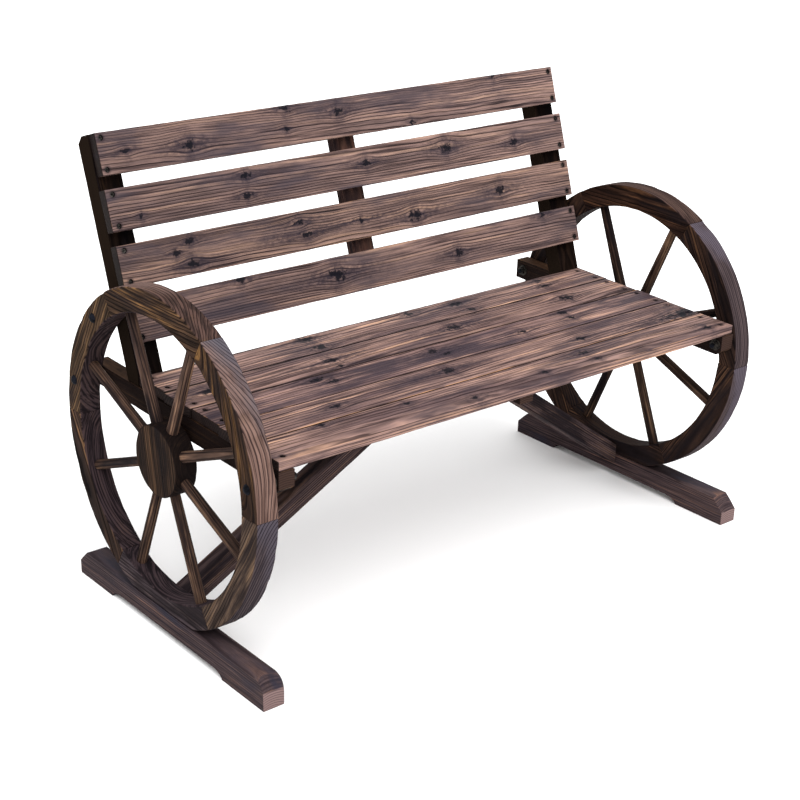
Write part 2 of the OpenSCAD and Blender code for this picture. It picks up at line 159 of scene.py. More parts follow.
def rough(p, scale, salt):
    """Smooth noise from 0 to 1. The salt picks a part of it, so a number added to it gives another noise."""
    return 0.5 + 0.5 * noise.noise(Vector((p[0] * scale + salt, p[1] * scale - salt, p[2] * scale + 3.1 * salt)))


def chips(p, salt, scale, level, size):
    """Chips where the noise rises above a level."""
    return max(0, rough(p, scale, salt) - level) * size


def planed(node, rotation, arris, step):
    """The node's solid with worn arrises, in its own frame. arris is the rounding and step the mesh along the grain."""
    matrix, half = placed(node, rotation)
    bm = bmesh.new()
    bm.from_mesh(nodes[node].data)
    bmesh.ops.transform(bm, matrix=matrix.inverted(), verts=bm.verts)
    bmesh.ops.remove_doubles(bm, verts=bm.verts, dist=SAME_POINT * MM)
    bmesh.ops.dissolve_limit(bm, angle_limit=math.radians(SAME_FACE_ANGLE), verts=bm.verts, edges=bm.edges)
    bmesh.ops.recalc_face_normals(bm, faces=bm.faces)
    mark = bm.edges.layers.int.new("arris")
    for e in bm.edges:
        long_enough = e.calc_length() > SHORT_EDGE * MM and len(e.link_faces) == 2
        e[mark] = int(long_enough and e.calc_face_angle(0) > math.radians(ARRIS_ANGLE))
    count = max(2, int(2 * half.x / (step * MM)))
    for k in range(1, count):
        at = -half.x + 2 * half.x * k / count
        bmesh.ops.bisect_plane(bm, geom=list(bm.verts) + list(bm.edges) + list(bm.faces),
                               plane_co=(at, 0, 0), plane_no=(1, 0, 0), dist=CUT_SLACK * MM)
    bm.edges.ensure_lookup_table()
    edges = [e for e in bm.edges if e[mark] == 1 and len(e.link_faces) == 2
             and e.calc_face_angle(0) > math.radians(BEVEL_ANGLE)]
    bmesh.ops.bevel(bm, geom=edges, offset=arris * MM, **ROUNDING)
    bm.normal_update()
    salt = random.uniform(1, 90)
    for v in bm.verts:
        gaps = sorted(half[k] - abs(v.co[k]) for k in range(3))
        near = max(0, 1 - gaps[1] / (WORN_BAND * MM))
        if near <= 0:
            continue
        dents = rough(v.co, WIDE_DENTS, salt) ** 2 * WIDE_DENT_DEPTH
        dents += rough(v.co, SMALL_DENTS, salt + 7) ** 3 * SMALL_DENT_DEPTH
        v.co -= v.normal * (WEAR_DEPTH * near * (dents + chips(v.co, salt + 31, **BOARD_CHIPS)) * MM)
    return bm, matrix, half


def ring_section(inner, outer, depth, radius):
    """Corners of a rounded rectangle, anticlockwise, as (radial, axial)."""
    points = []
    for cr, ca, start in ((outer, depth, 0), (inner, depth, 90), (inner, -depth, 180), (outer, -depth, 270)):
        mr = cr - radius if cr == outer else cr + radius
        ma = ca - math.copysign(radius, ca)
        for k in range(CORNER_STEPS + 1):
            a = math.radians(start + 90 * k / CORNER_STEPS)
            points.append((mr + radius * math.cos(a), ma + radius * math.sin(a)))
    return points


def felloe(side, index, centre, radius, inner, flat, depth):
    """One piece of a rim: a curved block between two butt joints."""
    points = [v.co - centre for v in nodes[f"{side}_felloe_{index}"].data.vertices]
    angles = [math.atan2(p.z, -p.y) for p in points]
    middle = sum((p for p in points), Vector()) / len(points)
    mid_angle = math.atan2(middle.z, -middle.y)
    spread = [((a - mid_angle + math.pi) % (2 * math.pi)) - math.pi for a in angles]
    first, last = min(spread), max(spread)
    mid_angle += (first + last) / 2
    half_angle = (last - first) / 2
    radial = Vector((0, -math.cos(mid_angle), math.sin(mid_angle)))
    chord = Vector((0, math.sin(mid_angle), math.cos(mid_angle)))
    rotation = axes(chord, (-1 if side == "left" else 1, 0, 0))
    matrix = rotation.to_4x4()
    matrix.translation = centre + radial * (radius + inner) / 2
    back = matrix.inverted()
    salt = random.uniform(1, 90)
    bm = bmesh.new()
    cell = bm.verts.layers.float_vector.new("cell")
    half = bm.verts.layers.float_vector.new("half")
    lip = JOINT_LIP * MM / radius
    shares = [-1, -1 + lip / half_angle]
    shares += [-1 + 2 * k / RIM_STATIONS for k in range(1, RIM_STATIONS)]
    shares += [1 - lip / half_angle, 1]
    rings = []
    for i, share in enumerate(shares):
        a = mid_angle + share * half_angle
        drop = -math.sin(a)
        reach = min(radius, flat / drop) if drop > FLAT_FROM else radius
        inset = JOINT_INSET * MM if i in (0, len(shares) - 1) else 0
        swell = sum(rough((a * turn, share, salt), scale, salt + more) for turn, scale, more in RIM_WAVES)
        ring = []
        for r, x in ring_section(inner + inset, reach - inset, depth - inset, RIM_CORNER * MM):
            p = centre + Vector((x, -r * math.cos(a), r * math.sin(a)))
            near = max(0, 1 - max(min(r - inner, reach - r), depth - abs(x)) / (WORN_BAND * MM))
            dent = rough(p, RIM_DENTS, salt) ** 2 + chips(p, salt + 9, **RIM_CHIPS)
            pull = near * dent * RIM_WEAR_DEPTH * MM
            r += -pull if r > (inner + reach) / 2 else pull
            x -= math.copysign(pull, x)
            r -= swell * RIM_WAVE_DEPTH * MM if r > (inner + reach) / 2 else 0
            v = bm.verts.new(back @ (centre + Vector((x, -r * math.cos(a), r * math.sin(a)))))
            v[cell] = (share * half_angle * radius, r - (inner + radius) / 2, x)
            v[half] = (half_angle * radius, (radius - inner) / 2, depth)
            ring.append(v)
        rings.append(ring)
    close_loft(bm, rings)
    return bm, matrix


def close_loft(bm, rings):
    """Joins rings of points into a closed solid."""
    count = len(rings[0])
    for a, b in zip(rings, rings[1:]):
        for k in range(count):
            bm.faces.new((a[k], a[(k + 1) % count], b[(k + 1) % count], b[k]))
    bm.faces.new(rings[0])
    bm.faces.new(rings[-1])
    bmesh.ops.recalc_face_normals(bm, faces=bm.faces)


def turned(node, centre):
    """A spoke: round, tapered and slightly uneven, in its own frame."""
    points = [v.co for v in nodes[node].data.vertices]
    middle = sum(points, Vector()) / len(points)
    along = middle - centre
    along.x = 0
    along.normalize()
    matrix, half = placed(node, axes(along, (1, 0, 0)))
    back = matrix.inverted()
    local = [back @ p for p in points]

    def width(at):
        return max((math.hypot(p.y, p.z) for p in local if abs(p.x - at) < END_REACH * MM), default=half.z)

    root, tip = width(-half.x), width(half.x)
    salt = random.uniform(1, 90)
    bm = bmesh.new()
    rings = []
    for i in range(SPOKE_STATIONS + 1):
        x = -half.x + 2 * half.x * i / SPOKE_STATIONS
        mean = root + (tip - root) * i / SPOKE_STATIONS
        ring = []
        for k in range(SPOKE_EDGES):
            a = 2 * math.pi * k / SPOKE_EDGES
            spot = (x, SPOKE_NOISE_RADIUS * math.cos(a), SPOKE_NOISE_RADIUS * math.sin(a))
            wave, pit = rough(spot, SPOKE_WAVES, salt), rough(spot, SPOKE_PITS, salt + 5)
            r = mean * (1 - SPOKE_WAVE_SHARE * wave - SPOKE_PIT_SHARE * pit ** 2)
            ring.append(bm.verts.new((x, r * math.cos(a), r * math.sin(a))))
        rings.append(ring)
    close_loft(bm, rings)
    return bm, matrix, half


def hub(node, side):
    """A hub: a sawn disc whose outline is a little uneven."""
    lean = math.radians(HUB_LEAN)
    matrix, half = placed(node, axes((0, math.sin(lean), math.cos(lean)), (-1 if side == "left" else 1, 0, 0)))
    radius = min(half.x, half.y)
    salt = random.uniform(1, 90)
    bm = bmesh.new()
    rings = []
    for share, depth in HUB_PROFILE:
        ring = []
        for k in range(HUB_EDGES):
            a = 2 * math.pi * k / HUB_EDGES
            spot = (HUB_NOISE_RADIUS * math.cos(a), HUB_NOISE_RADIUS * math.sin(a), HUB_NOISE_DEPTH * depth)
            chip = chips(spot, salt, **HUB_CHIPS) * (HUB_MIDDLE_CHIPS + abs(depth))
            r = radius * share - (rough(spot, HUB_WAVES, salt + 4) + chip) * MM
            ring.append(bm.verts.new((r * math.cos(a), r * math.sin(a), half.z * depth)))
        rings.append(ring)
    close_loft(bm, rings)
    return bm, matrix, half


# ---------------------------------------------------------------- shader graphs

class Graph:
    """Short forms for building a node tree."""

    def __init__(self, tree):
        self.nodes, self.links = tree.nodes, tree.links

    def put(self, value, socket):
        if isinstance(value, bpy.types.NodeSocket):
            self.links.new(value, socket)
        else:
            socket.default_value = value

    def math(self, op, *values):
        n = self.nodes.new("ShaderNodeMath")
        n.operation = op
        for socket, value in zip(n.inputs, values):
            self.put(value, socket)
        return n.outputs[0]

    def add(self, a, b):
        return self.math("ADD", a, b)

    def sub(self, a, b):
        return self.math("SUBTRACT", a, b)

    def mul(self, a, b):
        return self.math("MULTIPLY", a, b)

    def div(self, a, b):
        return self.math("DIVIDE", a, b)

    def max(self, a, b):
        return self.math("MAXIMUM", a, b)

    def min(self, a, b):
        return self.math("MINIMUM", a, b)

    def squares(self, a, b):
        return self.add(self.mul(a, a), self.mul(b, b))

    def length(self, a, b):
        return self.math("SQRT", self.squares(a, b))

    def vector(self, op, *values, scale=None):
        n = self.nodes.new("ShaderNodeVectorMath")
        n.operation = op
        for socket, value in zip(n.inputs, values):
            self.put(value, socket)
        if scale is not None:
            self.put(scale, n.inputs["Scale"])
        return n.outputs["Vector"]

    def split(self, vector):
        n = self.nodes.new("ShaderNodeSeparateXYZ")
        self.put(vector, n.inputs[0])
        return n.outputs[0], n.outputs[1], n.outputs[2]

    def join(self, x, y, z):
        n = self.nodes.new("ShaderNodeCombineXYZ")
        for socket, value in zip(n.inputs, (x, y, z)):
            self.put(value, socket)
        return n.outputs[0]

    def attribute(self, name):
        n = self.nodes.new("ShaderNodeAttribute")
        n.attribute_name = name
        return n.outputs["Vector"]

    def noise(self, vector, scale, detail, roughness):
        n = self.nodes.new("ShaderNodeTexNoise")
        self.put(vector, n.inputs["Vector"])
        n.inputs["Scale"].default_value = scale
        n.inputs["Detail"].default_value = detail
        n.inputs["Roughness"].default_value = roughness
        return n.outputs["Fac"]

    def span(self, value, a, b, low=0.0, high=1.0, smooth=True):
        """Runs from low, where the value is a, to high, where it is b."""
        n = self.nodes.new("ShaderNodeMapRange")
        n.interpolation_type = "SMOOTHSTEP" if smooth else "LINEAR"
        for socket, v in zip(n.inputs, (value, a, b, low, high)):
            self.put(v, socket)
        return n.outputs[0]

    def near(self, gap, kind, high=1.0):
        """Runs from 0 to high over one of the REACHES."""
        start, full = REACHES[kind]
        return self.span(gap, start * MM, full * MM, 0.0, high)

    def mix(self, share, a, b):
        n = self.nodes.new("ShaderNodeMix")
        n.data_type = "RGBA"
        self.put(share, n.inputs["Factor"])
        self.put(a, n.inputs[6])
        self.put(b, n.inputs[7])
        return n.outputs[2]

    def bump(self, height, strength, distance, shader):
        n = self.nodes.new("ShaderNodeBump")
        n.inputs["Strength"].default_value = strength
        n.inputs["Distance"].default_value = distance * MM
        self.put(height, n.inputs["Height"])
        self.put(n.outputs[0], shader.inputs["Normal"])


def srgb(r, g, b):
    """A colour given as it looks on screen, 0 to 255."""
    shares = [c / 255 for c in (r, g, b)]
    return tuple([c / 12.92 if c <= 0.04045 else ((c + 0.055) / 1.055) ** 2.4 for c in shares]) + (1.0,)


def new_material(name):
    m = bpy.data.materials.new(name)
    m.use_nodes = True
    return m, Graph(m.node_tree), m.node_tree.nodes["Principled BSDF"]


# ---------------------------------------------------------------- scorched fir

# Looks of a wood. ramp runs from the darkest streaks to the palest. pitch is the rings' spacing, offset and depth are
# the pith's place beside and below the face, in mm, and lines, burn and wear are shares. vary is how far a piece's own
# lightness counts, and fall darkens one end of a slat. Colours are given as on screen, from 0 to 255.
LOOKS = {
    "seat": dict(
        ramp=((52, 39, 41), (98, 78, 77), (146, 117, 108), (188, 148, 124)), line=(44, 32, 33), scorch=(60, 51, 58),
        edge=(196, 146, 108), wear=0.5, burn=0.36, pitch=5.0, depth=52, rough=0.55, lines=0.84, gloss=0.04, weave=0.55),
    "back": dict(
        ramp=((62, 49, 50), (105, 86, 83), (130, 105, 98), (156, 126, 111)), line=(26, 19, 22), scorch=(60, 54, 62),
        edge=(176, 132, 102), wear=0.3, burn=0.34, pitch=3.2, depth=50, rough=0.58, lines=0.92, gloss=0.04,
        fall=(0.80, 1.05)),
    "wheel": dict(
        ramp=((20, 15, 14), (40, 30, 26), (68, 51, 42), (130, 96, 66)), line=(13, 10, 10), scorch=(30, 25, 27),
        edge=(116, 84, 56), wear=0.22, burn=0.40, pitch=4.4, depth=46, rough=0.66, lines=0.86, length=1.6, gloss=0.01),
    # The hub's hoop tone is painted shade on its round outline.
    "hub": dict(
        ramp=((14, 11, 10), (32, 24, 20), (58, 43, 34), (94, 70, 50)), line=(14, 11, 10), scorch=(22, 18, 19),
        edge=(96, 70, 48), wear=0.15, burn=0.42, pitch=4.6, depth=40, offset=-140, wander=8.0, rough=0.66, lines=0.9,
        length=1.6, gloss=0.01, hoop_shade=(20, 15, 15)),
    "spoke": dict(
        ramp=((12, 9, 10), (48, 37, 34), (98, 75, 63), (156, 122, 96)), line=(14, 11, 12), scorch=(22, 18, 21),
        edge=(120, 88, 64), wear=0.0, burn=0.42, pitch=3.8, depth=30, rough=0.6, lines=0.85, length=1.4, gloss=0.02,
        vary=0.9),
    "skid": dict(
        ramp=((34, 27, 30), (50, 41, 45), (72, 59, 60), (104, 78, 68)), line=(32, 25, 28), scorch=(42, 41, 52),
        edge=(116, 86, 68), wear=0.2, burn=0.40, pitch=4.0, depth=60, rough=0.64, lines=0.6, gloss=0.03),
    # The rail's side tone is painted shade on its shaded side faces.
    "rail": dict(
        ramp=((11, 8, 8), (38, 28, 23), (78, 57, 44), (140, 102, 70)), line=(10, 8, 8), scorch=(15, 12, 13),
        edge=(120, 86, 58), wear=0.25, burn=0.46, pitch=3.6, depth=60, rough=0.66, lines=0.8, gloss=0.01,
        side=(27, 20, 19)),
    # The post look's ramp is darkened to paint in the shade on the posts, and its side tone is painted shade on their
    # side faces.
    "post": dict(
        ramp=((4, 3, 3), (14, 10, 9), (32, 23, 19), (64, 46, 33)), line=(8, 6, 6), scorch=(11, 9, 10),
        edge=(86, 60, 42), wear=0.15, burn=0.52, pitch=3.6, depth=60, rough=0.7, lines=0.8, gloss=0.0,
        side=(30, 23, 18)),
    "brace": dict(
        ramp=((28, 22, 23), (52, 42, 44), (78, 64, 64), (110, 86, 74)), line=(20, 15, 17), scorch=(26, 22, 26),
        edge=(96, 72, 56), wear=0.2, burn=0.42, pitch=3.6, depth=60, rough=0.66, lines=0.7, gloss=0.01),
}
BLACK_KNOT = (17, 17, 23)
SMOKE = (44, 38, 46)
STAIN_SHARE = 0.91


def wood_tone(*colour):
    """A wood colour, as it looks on screen under this light."""
    return tuple([c * STAIN_SHARE for c in srgb(*colour)[:3]]) + (1.0,)


# What a look has unless it says otherwise. length and weave stretch the streaks along and across the grain, taper tilts
# the rings, and wander and ripple bend them.
PLAIN_LOOK = dict(length=1.0, weave=1.0, offset=0.0, taper=0.008, wander=16.0, ripple=2.6, tread_turn=(0.0, 0.9))

CRACK_TONE = (24, 19, 21)
CHAR_TONE = (34, 28, 30)
SOOT_TONE = (26, 21, 24)
CUT_LINE_TONE = (18, 14, 14)
SCREW_STAIN_TONE = (40, 34, 38)
# The screw hole tone is painted shade.
SCREW_HOLE_SHADE_TONE = (18, 14, 14)

# Noises in the wood's own space: how fast they change along, across and below the grain, their detail and roughness
GRAIN_NOISES = {
    "wander": ((2.6, 7.0, 7.0), 2.0, 0.5),
    "ripple": ((13.0, 30.0, 30.0), 2.0, 0.5),
    "fine": ((22.0, 640.0, 640.0), 4.0, 0.65),
    "patch": ((5.0, 22.0, 22.0), 4.0, 0.62),
    "cloud": ((4.0, 18.0, 18.0), 4.0, 0.6),
    "fade": ((4.0, 40.0, 40.0), 3.0, 0.6),
    "ragged": ((9.0, 70.0, 70.0), 4.0, 0.6),
    "torn": ((60.0, 240.0, 60.0), 3.0, 0.7),
}
# Noises that follow the rings: how fast they change along the grain and across the rings, and their detail
RING_NOISES = {"streak": (5.0, 420.0, 3.0), "thread": (11.0, 760.0, 2.0), "broad": (2.6, 130.0, 3.0)}
RING_ROUGHNESS = 0.6
NOISE_MIDDLE = 0.5
# How far apart two pieces lie in the noises, and how fast the streaks change below the face
SEED_SPREAD, RING_SALT, RING_DEPTH, THREAD_START = 7.0, 40.0, 60.0, 9.0
BROAD_SHARE, CLOUD_SHARE = 0.7, 0.3

# Where a noise, a phase or a place starts and ends a change, and the least and greatest share that it gives
LEVELS = {
    "late_wood": (0.58, 0.88), "ring_end": (1.0, 0.96), "knot_core": (2.2, 0.5),
    "second_tone": (0.40, 0.54), "pale_streak": (0.51, 0.64), "pale_band": (0.46, 0.58),
    "dark_streak": (0.47, 0.37, 0.0, 0.75), "thread_shade": (0.82, 1.18, 0.72, 1.28), "dull": (0.3, 1.4),
    "line_fade": (0.32, 0.56, 0.35, 1.0), "crack_streak": (0.36, 0.29), "crack_cloud": (0.44, 0.56),
    "char_edge": (1.0, 0.3), "worn_edge": (1.0, 0.4), "worn_cloud": (0.36, 0.56, 0.12, 1.0),
    "front_only": (-0.01, 0.01, 0.25, 1.0), "one_side": (0.001, -0.001), "along_slat": (-0.45, 0.40),
    "tread_pale": (0.88, 1.12), "soot_streak": (0.52, 0.42), "torn_star": (0.34, 0.58, 0.5, 1.0),
}
# The noise between which the scorching sets in, and how far each end falls with the look's burn
BURN_FROM, BURN_FROM_FALL = 0.60, 0.35
BURN_TO, BURN_TO_FALL = 0.78, 0.3
BURN_GAIN, WEAR_GAIN = 2.0, 1.6
# The noise that runs an edge's width from its least to its greatest, and these widths in mm
CHAR_NOISE, CHAR_WIDTHS = (0.35, 0.7), (1.0, 8.0)
WEAR_NOISE, WEAR_WIDTHS = (0.40, 0.75), (0.3, 8.0)
# Distances at which a tone sets in and is full, in mm
REACHES = {"skin": (2.4, 1.0), "side": (1.5, 0.5), "hoop_shade": (3.0, 1.2), "end": (1.6, 0.6),
           "screw_stain": (8.5, 4.4), "screw_hole": (5.4, 5.0), "hole_depth": (0.8, 2.0)}
# How much each tone covers what lies below it
COVERS = {"burn": 0.9, "crack": 0.85, "painted_sheen": 0.9, "tread_line": 0.82, "soot": 0.9, "side": 0.92, "hoop_shade": 0.85,
          "end": 0.97, "end_line": 0.6, "star": 0.96, "knot": 0.92, "screw_stain": 0.55}
# How far the fine grain stands up and the others sink in, as shares of the relief in mm
RELIEF = {"fine": 0.35, "line": 0.5, "crack": 0.9, "knot": 0.5}
RELIEF_STRENGTH, RELIEF_HEIGHT = 0.6, 0.8
# How much smoother and rougher than its look a wood gets
SMOOTHER, ROUGHER = 0.08, 0.14
# How far a tread's painted sheen wanders with the clouds, and leans across the tread
SHEEN_WANDER, SHEEN_LEAN = 3.0, 0.45

# Knots: how far the grain bends and the smoky star reaches, in radii of the knot
KNOT_WARP_NOISE = (130.0, 3.0, 0.6)
KNOT_WARP = 5.0
KNOT_WARP_SHIFTS = (0.0, 5.0)
BEND_ALONG, BEND_ACROSS, BEND_SHARE = 4.6, 2.6, 0.86
STAR_LONG, STAR_THIN = 3.8, 1.5
STAR_TALL, STAR_NARROW, STAR_TALL_SHARE = 4.4, 1.3, 0.85
RING_RIPPLE = 1.6


def bell(g, dx, dy, wide, tall):
    """A soft spot, 1 in its middle."""
    return g.math("EXPONENT", g.mul(g.squares(g.div(dx, wide), g.div(dy, tall)), -1.0))


def knot(g, x, y, warp, at_x, at_y, radius, stretch, wing):
    """Bends the grain round a knot. Gives the bent y, the knot's core and the smoky star round it."""
    r = radius * MM
    dx = g.sub(x, at_x * MM)
    dy = g.sub(y, at_y * MM)
    pull = g.mul(bell(g, dx, dy, BEND_ALONG * r, BEND_ACROSS * r), BEND_SHARE)
    bent = g.sub(y, g.mul(dy, pull))
    near_x = g.add(g.div(dx, stretch * r), warp[0])
    near_y = g.add(g.div(dy, r), warp[1])
    core = g.span(g.squares(near_x, near_y), *LEVELS["knot_core"])
    wings = bell(g, near_x, near_y, STAR_LONG + wing / radius / 3, STAR_THIN)
    star = g.max(wings, g.mul(bell(g, near_x, near_y, STAR_NARROW, STAR_TALL), STAR_TALL_SHARE))
    return bent, core, star


def highest(g, values):
    top = values[0]
    for v in values[1:]:
        top = g.max(top, v)
    return top


def grain_noise(g, w, kind, weave=1.0):
    (along, across, below), detail, roughness = GRAIN_NOISES[kind]
    return g.noise(g.vector("MULTIPLY", w.seed, (along, across * weave, below)), 1.0, detail, roughness)


def ring_noise(g, w, look, kind, start):
    along, across, detail = RING_NOISES[kind]
    place = g.join(g.mul(w.x, along * look["length"]), g.mul(w.radius, across * look["weave"]), start)
    return g.noise(place, 1.0, detail, RING_ROUGHNESS)


def wood_space(g):
    """A point's place in the log (x, y, z) and in the piece (s, and c without its sign), its gaps to the piece's faces,
    the piece's half sizes h and its own numbers."""
    w = SimpleNamespace()
    place, tone, cell = g.attribute("log"), g.attribute("tone"), g.attribute("cell")
    w.x, w.y, w.z = g.split(place)
    w.number, w.light, _ = g.split(tone)
    w.seed = g.vector("ADD", place, g.vector("SCALE", tone, scale=SEED_SPREAD))
    w.hx, w.hy, w.hz = g.split(g.attribute("half"))
    w.sx, w.sy, w.sz = g.split(cell)
    w.cx, w.cy, w.cz = g.split(g.vector("ABSOLUTE", cell))
    w.gap_x, w.gap_y, w.gap_z = g.sub(w.hx, w.cx), g.sub(w.hy, w.cy), g.sub(w.hz, w.cz)
    return w


def bend_round_knots(g, w, knots):
    """Gives the bent y, and the cores and stars of the knots."""
    warp = []
    for far in KNOT_WARP_SHIFTS if knots else ():
        drift = g.noise(g.vector("ADD", w.seed, (far, far, 0)), *KNOT_WARP_NOISE)
        warp.append(g.mul(g.sub(drift, NOISE_MIDDLE), KNOT_WARP))
    bent, cores, stars = w.y, [], []
    for item in knots:
        bent, core, star = knot(g, w.x, bent, warp, *item)
        cores.append(core)
        stars.append(star)
    return bent, cores, stars


def grow_rings(g, w, look, bent):
    """Growth rings round a pith that wanders below the face, and the noises that follow them."""
    wander = g.sub(grain_noise(g, w, "wander"), NOISE_MIDDLE)
    ripple = g.sub(grain_noise(g, w, "ripple"), NOISE_MIDDLE)
    drift = g.add(g.mul(wander, look["wander"] * MM), g.mul(ripple, look["ripple"] * MM))
    across = g.sub(g.add(bent, drift), look["offset"] * MM)
    radius = g.add(g.length(across, g.add(w.z, look["depth"] * MM)), g.mul(w.x, look["taper"]))
    w.radius = g.add(radius, g.mul(ripple, RING_RIPPLE * MM))
    phase = g.math("FRACT", g.div(w.radius, look["pitch"] * MM))
    w.late = g.mul(g.span(phase, *LEVELS["late_wood"]), g.span(phase, *LEVELS["ring_end"]))

    salt = g.mul(w.number, RING_SALT)
    deep = g.mul(w.z, RING_DEPTH)
    w.streak = ring_noise(g, w, look, "streak", g.add(salt, deep))
    w.thread = ring_noise(g, w, look, "thread", g.add(salt, THREAD_START))
    w.broad = ring_noise(g, w, look, "broad", g.sub(salt, deep))
    w.fine = grain_noise(g, w, "fine", look["weave"])
    w.patch = grain_noise(g, w, "patch")
    w.cloud = grain_noise(g, w, "cloud")
    w.band = g.add(g.mul(w.broad, BROAD_SHARE), g.mul(w.cloud, CLOUD_SHARE))


def grain_colour(g, w, look):
    """Bands, streaks, late wood lines, scorched patches and cracks."""
    tones = [wood_tone(*c) for c in look["ramp"]]
    colour = g.mix(g.span(w.band, *LEVELS["second_tone"], smooth=False), tones[1], tones[2])
    pale = g.mul(g.span(w.streak, *LEVELS["pale_streak"]), g.span(w.band, *LEVELS["pale_band"]))
    colour = g.mix(pale, colour, tones[3])
    colour = g.mix(g.span(w.streak, *LEVELS["dark_streak"]), colour, tones[0])
    shade = g.span(g.add(w.thread, w.fine), *LEVELS["thread_shade"], smooth=False)
    colour = g.vector("SCALE", colour, scale=shade)
    if look.get("vary"):
        light = g.span(w.light, 0.0, 1.0, 1 - look["vary"], 1 + look["vary"], smooth=False)
        colour = g.vector("SCALE", colour, scale=light)
    if look.get("fall"):
        fall = g.span(w.x, *LEVELS["along_slat"], *look["fall"], smooth=False)
        colour = g.vector("SCALE", colour, scale=fall)
    w.line = g.mul(w.late, g.span(grain_noise(g, w, "fade"), *LEVELS["line_fade"]))
    colour = g.mix(g.mul(w.line, look["lines"]), colour, wood_tone(*look["line"]))
    burn = look["burn"]
    scorched = g.span(w.patch, BURN_FROM - burn * BURN_FROM_FALL, BURN_TO - burn * BURN_TO_FALL)
    colour = g.mix(g.mul(scorched, min(COVERS["burn"], burn * BURN_GAIN)), colour, wood_tone(*look["scorch"]))
    w.crack = g.mul(g.span(w.streak, *LEVELS["crack_streak"]), g.span(w.cloud, *LEVELS["crack_cloud"]))
    return g.mix(g.mul(w.crack, COVERS["crack"]), colour, wood_tone(*CRACK_TONE))


def edge_colour(g, w, look, colour):
    """Charred and rubbed arrises. The second smallest gap to the faces is the distance to an arris."""
    inner = g.min(g.max(w.gap_x, w.gap_y), w.gap_z)
    arris = g.max(g.min(w.gap_x, w.gap_y), inner)
    ragged = grain_noise(g, w, "ragged")
    if look.get("char"):
        width = g.span(ragged, *CHAR_NOISE, CHAR_WIDTHS[0] * MM, CHAR_WIDTHS[1] * MM)
        burnt = g.span(g.div(arris, width), *LEVELS["char_edge"])
        colour = g.mix(g.mul(burnt, look["char"]), colour, wood_tone(*CHAR_TONE))
    if look["wear"]:
        width = g.span(ragged, *WEAR_NOISE, WEAR_WIDTHS[0] * MM, WEAR_WIDTHS[1] * MM * look["wear"])
        worn = g.mul(g.span(g.div(arris, width), *LEVELS["worn_edge"]), g.span(w.cloud, *LEVELS["worn_cloud"]))
        if look.get("front_edge"):
            worn = g.mul(worn, g.span(g.mul(w.sy, look["front_edge"]), *LEVELS["front_only"]))
        colour = g.mix(g.mul(worn, min(1.0, look["wear"] * WEAR_GAIN)), colour, wood_tone(*look["edge"]))
    return colour


def rim_colour(g, w, look, colour):
    """A felloe's stained tread, with a painted sheen of reflected light over part of it, and its sooty inside."""
    painted_sheen, pale, brown, black = (wood_tone(*c) for c in look["tread"])
    # The painted sheen is reflected light painted over the tread where rise passes tread_turn, from the front over the
    # top.
    rise = g.add(g.div(w.sx, w.hx), g.mul(g.sub(w.cloud, NOISE_MIDDLE), SHEEN_WANDER))
    rise = g.add(rise, g.mul(g.div(w.sz, w.hz), SHEEN_LEAN))
    skin = g.mix(g.span(g.add(w.band, w.streak), *LEVELS["tread_pale"]), brown, pale)
    skin = g.mix(g.mul(g.span(rise, *look["tread_turn"]), COVERS["painted_sheen"]), skin, painted_sheen)
    skin = g.mix(g.mul(g.max(w.late, w.crack), COVERS["tread_line"]), skin, black)
    colour = g.mix(g.near(g.sub(w.hy, w.sy), "skin"), colour, skin)
    sooty = g.max(w.line, g.span(w.streak, *LEVELS["soot_streak"]))
    soot = g.mix(sooty, wood_tone(*look["inside"]), wood_tone(*SOOT_TONE))
    return g.mix(g.mul(g.near(g.add(w.hy, w.sy), "skin"), COVERS["soot"]), colour, soot)


def side_colour(g, w, look, colour):
    """Painted shade on the long sides and round a hub's outline, and darker sawn ends."""
    if "side" in look:
        # The side tone is painted shade on the long sides: in the gaps between seat slats and on the shaded faces of
        # rails and posts. open_side keeps it to one side.
        hidden = g.near(w.gap_y, "side", COVERS["side"])
        if look.get("open_side"):
            hidden = g.mul(hidden, g.span(g.mul(w.sy, look["open_side"]), *LEVELS["one_side"]))
        colour = g.mix(hidden, colour, wood_tone(*look["side"]))
    # The hoop tone is painted shade on the hub's round outline.
    if "hoop_shade" in look:
        outline = g.near(g.sub(w.hx, g.length(w.sx, w.sy)), "hoop_shade", COVERS["hoop_shade"])
        colour = g.mix(outline, colour, wood_tone(*look["hoop_shade"]))
    if "end" in look:
        cut = g.mix(g.mul(w.late, COVERS["end_line"]), wood_tone(*look["end"]), wood_tone(*CUT_LINE_TONE))
        colour = g.mix(g.mul(g.near(w.gap_x, "end"), COVERS["end"]), colour, cut)
    return colour


def screw_colour(g, w, screws, colour):
    """Stains round the four screws, and painted shade down in their holes. screws is their place from the slat's
    middle.
    """
    reach = g.length(g.sub(w.cx, screws[0] * MM), g.sub(w.cy, screws[1] * MM))
    stain = g.mul(g.near(reach, "screw_stain"), COVERS["screw_stain"])
    colour = g.mix(stain, colour, wood_tone(*SCREW_STAIN_TONE))
    # Painted shade on the walls of the screw hole, below the top face.
    hole_shade = g.near(g.sub(w.hz, w.sz), "hole_depth", g.near(reach, "screw_hole"))
    return g.mix(hole_shade, colour, wood_tone(*SCREW_HOLE_SHADE_TONE))


